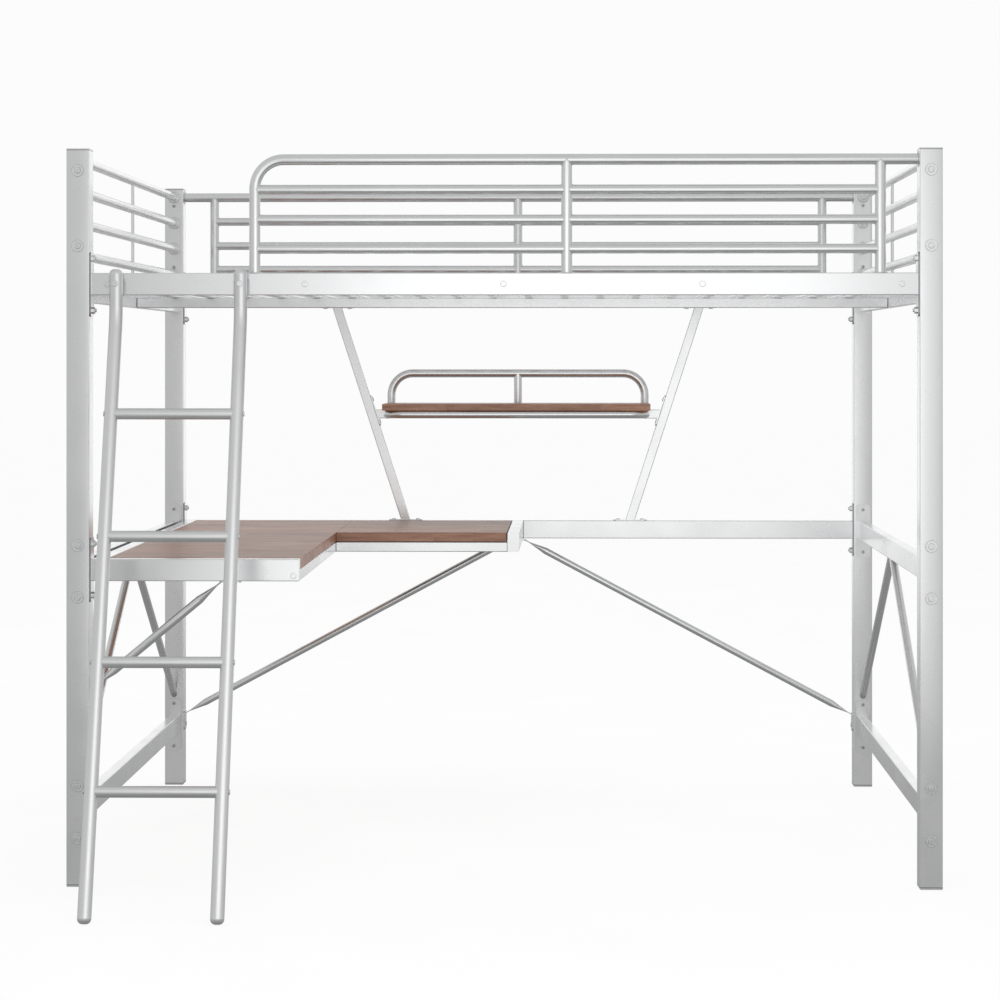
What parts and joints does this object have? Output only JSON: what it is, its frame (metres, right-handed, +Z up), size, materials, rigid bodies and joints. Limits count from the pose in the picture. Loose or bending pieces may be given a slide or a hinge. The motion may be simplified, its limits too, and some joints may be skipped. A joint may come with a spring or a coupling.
{
  "type": "loft bed with desk",
  "caption": "High tubular steel bed with guard rails and a leaning ladder, over an L-shaped wood-topped desk and a small railed shelf.",
  "frame": {"origin": "on the floor, under the middle of the whole object, with the ladder's feet counted", "axes": "+X along the bed's length, away from the ladder's end; +Y from the ladder side to the back; +Z up"},
  "size_m": [1.98, 1.8293, 1.673],
  "materials": {
    "silver_steel": "satin",
    "walnut_board": "satin",
    "zinc_fastener": "satin",
    "silver_cap": "satin",
    "grey_plastic": "matte"
  },
  "bodies": {
    "root": {"back_bed_rail": "silver_steel", "back_guard_bars": "silver_steel", "back_guard_top_tube": "silver_steel", "back_guard_uprights": "silver_steel", "back_left_post": "silver_steel", "back_right_post": "silver_steel", "bed_end_rails": "silver_steel", "bed_slats": "silver_steel", "board_screws": "zinc_fastener", "bracket_bolts": "zinc_fastener", "centre_beam": "silver_steel", "desk_back_rail": "silver_steel", "desk_cross_bars": "silver_steel", "desk_front_apron": "silver_steel", "desk_side_rail": "silver_steel", "end_frame_bolts": "zinc_fastener", "end_rail_plates": "silver_steel", "front_bed_rail": "silver_steel", "front_guard_bars": "silver_steel", "front_guard_frame": "silver_steel", "front_guard_uprights": "silver_steel", "front_left_post": "silver_steel", "front_right_post": "silver_steel", "hex_nuts": "zinc_fastener", "ladder_end_caps": "silver_cap", "ladder_left_stile": "silver_steel", "ladder_right_stile": "silver_steel", "ladder_rungs": "silver_steel", "ladder_saddles": "grey_plastic", "left_back_brace": "silver_steel", "left_desk_end_rail": "silver_steel", "left_end_guard": "silver_steel", "left_strut": "silver_steel", "left_v_brace": "silver_steel", "low_end_rails": "silver_steel", "main_desktop": "walnut_board", "plate_studs": "zinc_fastener", "post_feet": "grey_plastic", "post_top_caps": "silver_cap", "rail_bolts": "zinc_fastener", "rail_end_plates": "silver_steel", "right_back_brace": "silver_steel", "right_desk_end_rail": "silver_steel", "right_end_guard": "silver_steel", "right_strut": "silver_steel", "right_v_brace": "silver_steel", "rung_bolts": "zinc_fastener", "shelf_board": "walnut_board", "shelf_cross_rail": "silver_steel", "shelf_frame": "silver_steel", "shelf_guard": "silver_steel", "slat_ledges": "silver_steel", "strut_plates": "silver_steel", "upper_end_plates": "silver_steel", "wing_brace": "silver_steel", "wing_desktop": "walnut_board", "wing_front_rail": "silver_steel", "wing_inner_rail": "silver_steel", "wing_side_rail": "silver_steel"}
  },
  "joints": []
}
